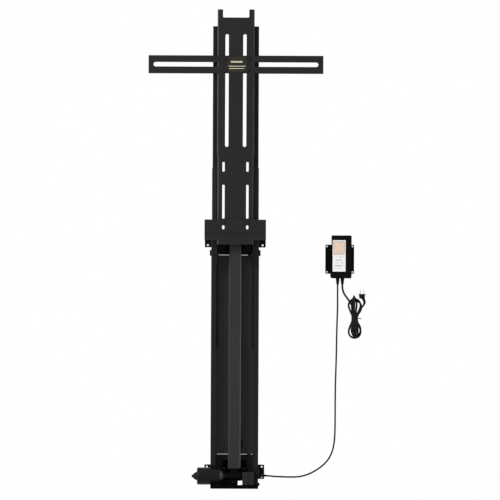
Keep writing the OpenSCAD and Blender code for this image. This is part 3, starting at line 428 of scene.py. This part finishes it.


# edge and folds set how strong the painted highlights are: the plates' is strongest on their left bends, the cover's
# on its right.
black_coat = powder_coat("black_powder_coat", (0.0150, 0.0142, 0.0144), gloss=0.1, edge=5.2, bend=0.0012,
                         folds=(1.05, 0.7))
rail_coat = powder_coat("rail_powder_coat", (0.0092, 0.0086, 0.0088), gloss=0.1)
mid_coat = powder_coat("middle_rail_powder_coat", (0.0170, 0.0160, 0.0165), gloss=0.1)
foot_coat = powder_coat("foot_powder_coat", (0.0017, 0.0016, 0.0017), gloss=0.015)
bracket_coat = powder_coat("bracket_powder_coat", (0.0046, 0.0044, 0.0044), gloss=0.04,
                           inside=(0.030, 0.0284, 0.0284))
deep_coat = powder_coat("panel_powder_coat", (0.0550, 0.0515, 0.0525))
charcoal_coat = powder_coat("charcoal_powder_coat", (0.0255, 0.0240, 0.0264), rough=0.36, edge=4.2, bend=0.0012,
                            folds=(0.2, 1.6))
dress(["foot_plate", "motor_saddle", "gearbox_bracket", "nut_carrier"], foot_coat)
dress(["lower_bracket", "upper_bracket"], bracket_coat)
dress(["base_rail_left", "base_rail_right", "inner_rail_left", "inner_rail_right", "top_bearing_bracket",
       "shoe_brackets"], rail_coat)
dress(["mid_rail_left", "mid_rail_right"], mid_coat)
dress(["back_panel", "mid_tie_panel"], deep_coat)
dress(["carriage_plate", "lower_plate", "cross_plate", "crossbar"], black_coat)
dress(["screw_cover"], charcoal_coat)


# Motor and gearbox. The can is drawn steel under a semi-gloss paint, and lies on a rubber pad. The die-cast nose and
# the cast gearbox round the worm are painted black, darker still as painted shade over the gearbox, and a soft round
# painted highlight lies on their front where they join.
def cast_metal(name, colour, rough, gloss, painted_highlight_centre=None):
    material, place = empty_material(name)
    grain = grained(place, 260, 4)
    cloud = grained(place, 25, 3)
    tint = (grain * 0.5 + cloud * 0.5).shaded(colour, 0.7, 1.3)
    # Painted highlight: the colour pales in a soft round patch about the point given, on the casting's front.
    if painted_highlight_centre:
        away = place.node("ShaderNodeVectorMath", {"operation": "DISTANCE"}, {0: place, 1: at_foot(painted_highlight_centre)}, 1)
        tint = ((0.018 - away) * 90 + (cloud - 0.5) * 0.4).limited().mixed(tint, (0.078, 0.074, 0.075))
    bump = place.node("ShaderNodeBump", inputs={"Height": grain, "Strength": 0.2, "Distance": 0.0004})
    return finished(material, place.node("ShaderNodeBsdfPrincipled", inputs={
        "Base Color": tint, "Roughness": cloud * 0.2 + rough, "Normal": bump, "Specular IOR Level": gloss}))


motor_paint = powder_coat("motor_paint", (0.0062, 0.0058, 0.0062), rough=0.34, peel=0.05, gloss=0.1)
dress(["motor_can", "motor_end_cap"], motor_paint)
# The casting's colour is very dark, partly its black paint and partly painted shade where the gearbox sits in shadow.
dress(["motor_nose", "gearbox_housing", "gearbox_cover"],
      cast_metal("painted_casting", (0.0034, 0.0031, 0.0028), 0.5, 0.03, painted_highlight_centre=(-43, 90, 49)))
dress(["sensor_magnet"], cast_metal("ferrite", (0.0120, 0.0115, 0.0120), 0.5, 0.1))

motor_back, motor_height, motor_radius, foot_top = 64, 44, 31.1, 2.5
pad_rings = []
for x, trim in ((-76, 0.5), (-75.5, 0), (-45.5, 0)):
    hollow = [at_foot((x, motor_back + across, motor_height - math.sqrt(motor_radius ** 2 - across ** 2) - trim))
              for across in range(-14, 15, 2)]
    pad_rings.append(hollow + [at_foot((x, motor_back + side, foot_top)) for side in (14, -14)])
skinned("motor_pad", pad_rings, soft_black, smooth_faces=False)


# Turned and bright parts: ground steel for the screw, shaft and bearing, black oxide on screws and bolts, bronze for
# the bush and the nut. The lead screw is turned from bar, and its five-start thread climbs 20 mm in a turn.
def turned_metal(name, colour, rough, greased_below=None):
    material, place = empty_material(name)
    stretched = place.node("ShaderNodeMapping", inputs={"Vector": place, "Scale": (1, 1, 0.02)})
    lines = stretched.node("ShaderNodeTexNoise", inputs={"Vector": stretched, "Scale": 1500.0, "Detail": 2.0})
    cloud = grained(place, 60)
    tint = (lines * 0.6 + cloud * 0.4).shaded(colour, 0.8, 1.15)
    if greased_below:
        upright = place.node("ShaderNodeSeparateXYZ", inputs={0: place}, out=2)
        tint = (upright < greased_below + FOOT + cloud * 0.008).mixed(tint, (0.012, 0.010, 0.008))
    return finished(material, place.node("ShaderNodeBsdfPrincipled", inputs={
        "Base Color": tint, "Metallic": 1.0, "Roughness": lines * 0.2 + rough}))


ground_steel = turned_metal("ground_steel", (0.42, 0.42, 0.44), 0.25)
greased_steel = turned_metal("greased_screw_steel", (0.42, 0.42, 0.44), 0.25, greased_below=0.115)
dress(["worm_shaft"], ground_steel)
dress(["thrust_bearing"], greased_steel)
dress(["gearbox_bolts", "panel_screws", "earth_bolt", "nut_screws", "carriage_bolts"],
      turned_metal("black_oxide", (0.022, 0.021, 0.022), 0.42))
dress(["top_bush", "drive_nut"], turned_metal("bronze", (0.5, 0.32, 0.14), 0.3))
dress(["plug_blades"], turned_metal("tarnished_blades", (0.09, 0.085, 0.07), 0.3))


def grow(made, tree, sizes):
    """Turns a piece's mesh into what the tree makes of it with the sizes given by name."""
    growth = made.modifiers.new("growth", "NODES")
    growth.node_group = tree
    for socket in tree.interface.items_tree:
        if socket.in_out == "INPUT" and socket.name in sizes:
            growth[socket.identifier] = sizes[socket.name]
    grown = bpy.data.meshes.new_from_object(made.evaluated_get(bpy.context.evaluated_depsgraph_get()))
    made.modifiers.clear()
    made.data = grown


def new_tree(name, sizes):
    """A tree that takes a mesh and named sizes: the tree, the mesh's wire and a wire for each size."""
    tree = bpy.data.node_groups.new(name, "GeometryNodeTree")
    tree.interface.new_socket("Mesh", in_out="INPUT", socket_type="NodeSocketGeometry")
    for size, kind in sizes.items():
        tree.interface.new_socket(size, in_out="INPUT", socket_type=f"NodeSocket{kind}")
    tree.interface.new_socket("Mesh", in_out="OUTPUT", socket_type="NodeSocketGeometry")
    entry = tree.nodes.new("NodeGroupInput")
    return tree, Wire(entry.outputs[0]), [Wire(entry.outputs[size]) for size in sizes]


def end_tree(tree, mesh, material):
    solid = mesh.node("GeometryNodeRealizeInstances", inputs={"Geometry": mesh})
    painted = solid.node("GeometryNodeSetMaterial", inputs={"Geometry": solid, "Material": material})
    tree.links.new(painted.socket, tree.nodes.new("NodeGroupOutput").inputs[0])


# Each start is four rows of points, two at the root and two at the crest, that climb one lead in a turn. The first
# and the last row run in to the axis, inside the collars
SIDES = 32
thread_tree, shaft, (start_count, pitch, root, crest, low, high) = new_tree("screw_thread", {
    "Starts": "Int", "Pitch": "Float", "Root": "Float", "Crest": "Float", "Low": "Float", "High": "Float"})
thread_rows = ((high - low) / pitch + start_count).maths("CEIL") * 4
grid = shaft.node("GeometryNodeMeshGrid", inputs={"Size X": thread_rows - 1, "Size Y": float(SIDES),
                                                  "Vertices X": thread_rows, "Vertices Y": SIDES + 1})
across = shaft.node("ShaderNodeSeparateXYZ", inputs={0: shaft.node("GeometryNodeInputPosition")})
row = (across + (thread_rows - 1) / 2).maths("ROUND")
step = across.beside(1) + SIDES / 2
part = row.maths("MODULO", 4)
turn = step * (2 * math.pi / SIDES)
climb = (row - part) / 4 + (part > 1.5) * 0.5 + part.maths("MODULO", 2) * 0.366 - start_count
height = ((climb + start_count * step / SIDES) * pitch + low).maths("MAXIMUM", low).maths("MINIMUM", high)
reach = (root + (part > 1.5) * (crest - root)) * (row > 0.5) * (row < thread_rows - 1.5)
helix = shaft.node("ShaderNodeCombineXYZ", inputs={
    0: reach * turn.maths("COSINE"), 1: reach * turn.maths("SINE"), 2: height})
thread = grid.node("GeometryNodeSetPosition", inputs={"Geometry": grid, "Position": helix})
thread = thread.node("GeometryNodeFlipFaces", inputs={"Mesh": thread})
thread = thread.node("GeometryNodeMergeByDistance", inputs={"Geometry": thread, "Distance": 0.00001})
both = thread.node("GeometryNodeJoinGeometry", inputs={0: thread})
thread_tree.links.new(shaft.socket, both.socket.node.inputs[0])
end_tree(thread_tree, both, greased_steel)

screw_back = 34  # millimetres in front of the wall


def turned(x, depth, profile, count=32):
    """Level rings about an upright axis, from a profile of heights and radii."""
    return [[at_foot((x + r * math.cos(2 * math.pi * k / count), depth - r * math.sin(2 * math.pi * k / count), h))
             for k in range(count)] for h, r in profile]


screw = skinned("threaded_screw", turned(0, 0, [
    (19, 6.2), (19.8, 7), (66.5, 7), (66.6, 8), (77.5, 8), (78.1, 13.4), (78.7, 14), (87.4, 14), (88, 13.4),
    (88.6, 8), (92, 8), (93, 6), (874, 6), (875, 8), (879, 8), (879.1, 6), (891.2, 6), (892, 5.2)]),
    greased_steel, "screw", smooth_faces=False)
grow(screw, thread_tree, {"Starts": 5, "Pitch": 0.004, "Root": 0.006, "Crest": 0.00795, "Low": 0.0915 + FOOT,
                          "High": 0.8765 + FOOT})
for point in screw.data.vertices:
    point.co.y -= screw_back / 1000
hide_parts("lead_screw")


# Plastic. Pads, shoes and worm wheel are natural nylon. Buttons, terminal box and control box are black moulded
# plastic with a spark-etched surface, and the glands, clamp and plug are softer black rubber.
def moulded(name, colour, rough, grain, strength, gloss=0.12):
    material, place = empty_material(name)
    etched = grained(place, grain, 2)
    cloud = grained(place, 30, 3)
    tint = (cloud * 0.6 + etched * 0.4).shaded(colour, 0.75, 1.25)
    bump = place.node("ShaderNodeBump", inputs={"Height": etched, "Strength": strength, "Distance": 0.0003})
    return finished(material, place.node("ShaderNodeBsdfPrincipled", inputs={
        "Base Color": tint, "Roughness": (etched - 0.5) * 0.2 + rough, "Normal": bump, "Specular IOR Level": gloss}))


nylon = moulded("natural_nylon", (0.6, 0.57, 0.48), 0.4, 500, 0.1, gloss=0.4)
etched_black = moulded("etched_black_plastic", (0.0034, 0.0031, 0.0028), 0.42, 1100, 0.35, gloss=0.03)
grey_plastic = moulded("charcoal_plastic", (0.0165, 0.0158, 0.0166), 0.5, 1100, 0.3)
dress(["base_guide_pads", "mid_guide_pads", "inner_guide_pads", "glide_shoes", "worm_wheel", "terminal_block"], nylon)
dress(["side_glide_buttons", "limit_sensors", "controller_base", "controller_cover", "controller_end_cap"],
      etched_black)
dress(["terminal_box", "terminal_box_lid"], grey_plastic)
dress(["controller_glands", "lead_clamp"], soft_black)
dress(["controller_board"], moulded("solder_mask", (0.01, 0.09, 0.035), 0.35, 400, 0.1))


# Ribs. The two rubber glands under the control box and the relief of the lead clamp are ringed so that they bend
# easily, and the lid of the terminal box has a row of upright ribs moulded on it.
def places(name, points):
    """An empty piece whose points are the places where a tree puts its copies."""
    mesh = bpy.data.meshes.new(name)
    mesh.from_pydata([at_foot(point) for point in points], [], [])
    made = bpy.data.objects.new(name, mesh)
    bpy.context.scene.collection.objects.link(made)
    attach(made, "base")
    return made


ring_tree, spots, (rings, spacing, first, last, thickness, lean) = new_tree("rings_of_a_taper", {
    "Rings": "Int", "Spacing": "Float", "First radius": "Float", "Last radius": "Float", "Thickness": "Float",
    "Lean": "Vector"})
hoop = spots.node("GeometryNodeCurvePrimitiveCircle", inputs={"Resolution": 28, "Radius": 1.0})
wire_round = spots.node("GeometryNodeCurvePrimitiveCircle", inputs={"Resolution": 8, "Radius": thickness})
hoop = hoop.node("GeometryNodeCurveToMesh", inputs={"Curve": hoop, "Profile Curve": wire_round})
rise = spots.node("ShaderNodeCombineXYZ", inputs={2: spacing})
ladder = spots.node("GeometryNodeMeshLine", inputs={"Count": rings, "Offset": rise})
size = first + (last - first) * spots.node("GeometryNodeInputIndex") / (rings - 1)
widths = spots.node("ShaderNodeCombineXYZ", inputs={0: size, 1: size, 2: size})
stack = ladder.node("GeometryNodeInstanceOnPoints", inputs={"Points": ladder, "Instance": hoop, "Scale": widths})
stacks = spots.node("GeometryNodeInstanceOnPoints", inputs={"Points": spots, "Instance": stack, "Rotation": lean})
end_tree(ring_tree, stacks, soft_black)
gland_ribs = places("gland_ribs", [(370, 19, 739), (387, 19, 739)])
grow(gland_ribs, ring_tree, {"Rings": 6, "Spacing": 0.003, "First radius": 0.00485, "Last radius": 0.0066,
                             "Thickness": 0.11})
clamp_ribs = places("clamp_ribs", [(99.5, 76, 47)])
grow(clamp_ribs, ring_tree, {"Rings": 4, "Spacing": 0.0032, "First radius": 0.0053, "Last radius": 0.0043,
                             "Thickness": 0.11, "Lean": (0, math.radians(90), 0)})

bar_tree, spots, (length, thickness) = new_tree("row_of_bars", {"Length": "Float", "Thickness": "Float"})
upright = spots.node("GeometryNodeCurvePrimitiveLine", inputs={
    "End": spots.node("ShaderNodeCombineXYZ", inputs={2: length})})
bar_round = spots.node("GeometryNodeCurvePrimitiveCircle", inputs={"Resolution": 10, "Radius": thickness / 2})
bar = upright.node("GeometryNodeCurveToMesh", inputs={
    "Curve": upright, "Profile Curve": bar_round, "Fill Caps": True})
end_tree(bar_tree, bar.node("GeometryNodeInstanceOnPoints", inputs={"Points": spots, "Instance": bar}), grey_plastic)
lid_ribs = places("lid_ribs", [(35.75 + 4 * k, 93, 23) for k in range(8)])
grow(lid_ribs, bar_tree, {"Length": 0.026, "Thickness": 0.0014})


# Labels. A rounded sticker is pressed on the middle of the cross bar, and a tall paper label on the control box.
# Both are left plain: bars of ink stand where a printer would put lines.
def printed(name, paper, bars, rough):
    """Paper with bars on it, each given by its left, right, low and high edge and its colour."""
    material, place = empty_material(name)
    across = place.node("ShaderNodeSeparateXYZ", inputs={0: place})
    upward = across.beside(2)
    fibre = grained(place, 700, 3)
    tint = fibre.mixed([c * 0.94 for c in paper], paper)
    for left, right, low, high, ink in bars:
        wide = (across > left / 1000) * (across < right / 1000)
        tall = (upward > low / 1000 + FOOT) * (upward < high / 1000 + FOOT)
        tint = (wide * tall).mixed(tint, ink)
    bump = place.node("ShaderNodeBump", inputs={"Height": fibre, "Strength": 0.08, "Distance": 0.0002})
    return finished(material, place.node("ShaderNodeBsdfPrincipled", inputs={
        "Base Color": tint, "Roughness": fibre * 0.1 + rough, "Normal": bump, "Specular IOR Level": 0.15}))


def pressed_on(name, x, height, wide, tall, corner, depth, material, body):
    """A thin sheet with rounded corners, facing forward at a depth; wide and tall are half its sizes."""
    outline = []
    for k in range(4):
        for step in range(7):
            turn = math.radians(90 * k + 15 * step)
            outline.append((((1, -1, -1, 1)[k] * (wide - corner) + corner * math.cos(turn)) / 1000,
                            ((1, 1, -1, -1)[k] * (tall - corner) + corner * math.sin(turn)) / 1000))
    rings = [[(x / 1000 + a * trim, -(depth + out) / 1000, height / 1000 + FOOT + b * trim) for a, b in outline]
             for out, trim in ((0, 1), (0.2, 1), (0.3, 0.995))]
    return skinned(name, rings, material, body, smooth_faces=False)


pale_ink, bright_ink = (0.50, 0.51, 0.32), (0.72, 0.72, 0.5)
badge = printed("cross_bar_sticker", (0.0195, 0.0180, 0.0105), [
    (-18.5, 23.5, 1530.7, 1536.5, pale_ink), (-26.5, 34, 1516.9, 1518.8, bright_ink),
    (-24.5, 29, 1508.5, 1510.4, bright_ink)], 0.4)
pressed_on("cross_bar_badge", 4, 1525, 34, 28, 18, 92, badge, "carriage")
grey, light_grey = (0.46, 0.44, 0.43), (0.66, 0.64, 0.63)
label_paper = printed("control_box_paper", (0.88, 0.87, 0.855), [
    (354, 394.5, 850.5, 890, (0.33, 0.25, 0.18)), (356, 392.5, 852.5, 888, (0.76, 0.57, 0.44)),
    (353, 395, 842, 848, (0.55, 0.47, 0.42)),
    (358, 366, 832.5, 835.5, light_grey), (371, 392, 832.5, 835.5, light_grey),
    (364.5, 371, 820.5, 825.5, grey), (376, 383, 820.5, 825.5, grey), (381, 391, 811, 815, light_grey),
    (360, 372, 812, 814.5, light_grey), (360, 387.5, 801, 804.5, grey), (359, 382, 792.5, 795, light_grey)], 0.45)
pressed_on("control_box_label", 374.6, 838, 23.4, 56.5, 1.5, 38, label_paper, "base")
